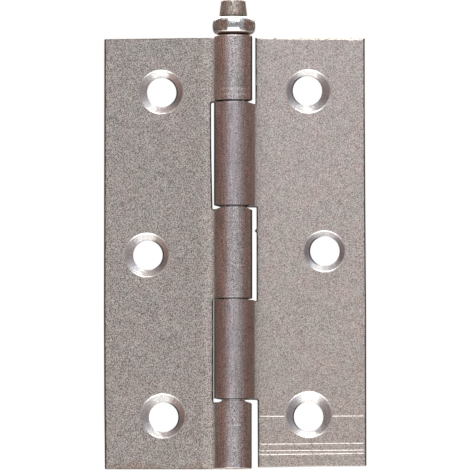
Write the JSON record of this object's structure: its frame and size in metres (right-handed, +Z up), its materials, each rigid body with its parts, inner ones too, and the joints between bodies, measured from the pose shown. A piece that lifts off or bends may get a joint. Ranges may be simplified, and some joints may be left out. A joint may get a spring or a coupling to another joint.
{
  "type": "loose-pin butt hinge",
  "caption": "Steel butt hinge with rolled knuckles, countersunk screw holes and a lift-out pin with a turned head, laid open flat.",
  "frame": {"origin": "middle of the frame leaf's flat back, half way from the pin's axis to the leaf's free edge and half way up the leaf", "axes": "+Z up along the pin towards its head; +X from the frame leaf across the pin to the door leaf; +Y out of the backs of the leaves, so the barrel stands proud towards -Y"},
  "size_m": [0.0606, 0.0101, 0.1084],
  "materials": {
    "frame_leaf_steel": "raw matt sheet, fine grain",
    "door_leaf_steel": "raw matt sheet, fine grain, scribed lines near the foot",
    "pin_steel": "turned, polished on the bead, dull on the cap"
  },
  "bodies": {
    "frame_leaf": {"frame_leaf": "frame_leaf_steel"},
    "door_leaf": {"door_leaf": "door_leaf_steel"},
    "pin": {"pin": "pin_steel"}
  },
  "joints": [
    {"name": "leaf_swing", "type": "hinge", "parent": "frame_leaf", "child": "door_leaf", "pos_m": [0.01495, -0.00435, 0], "axis": [0, 0, 1], "range_deg": [-180, 90]},
    {"name": "pin_lift", "type": "slide", "parent": "frame_leaf", "child": "pin", "axis": [0, 0, 1], "range_m": [0, 0.104]}
  ]
}
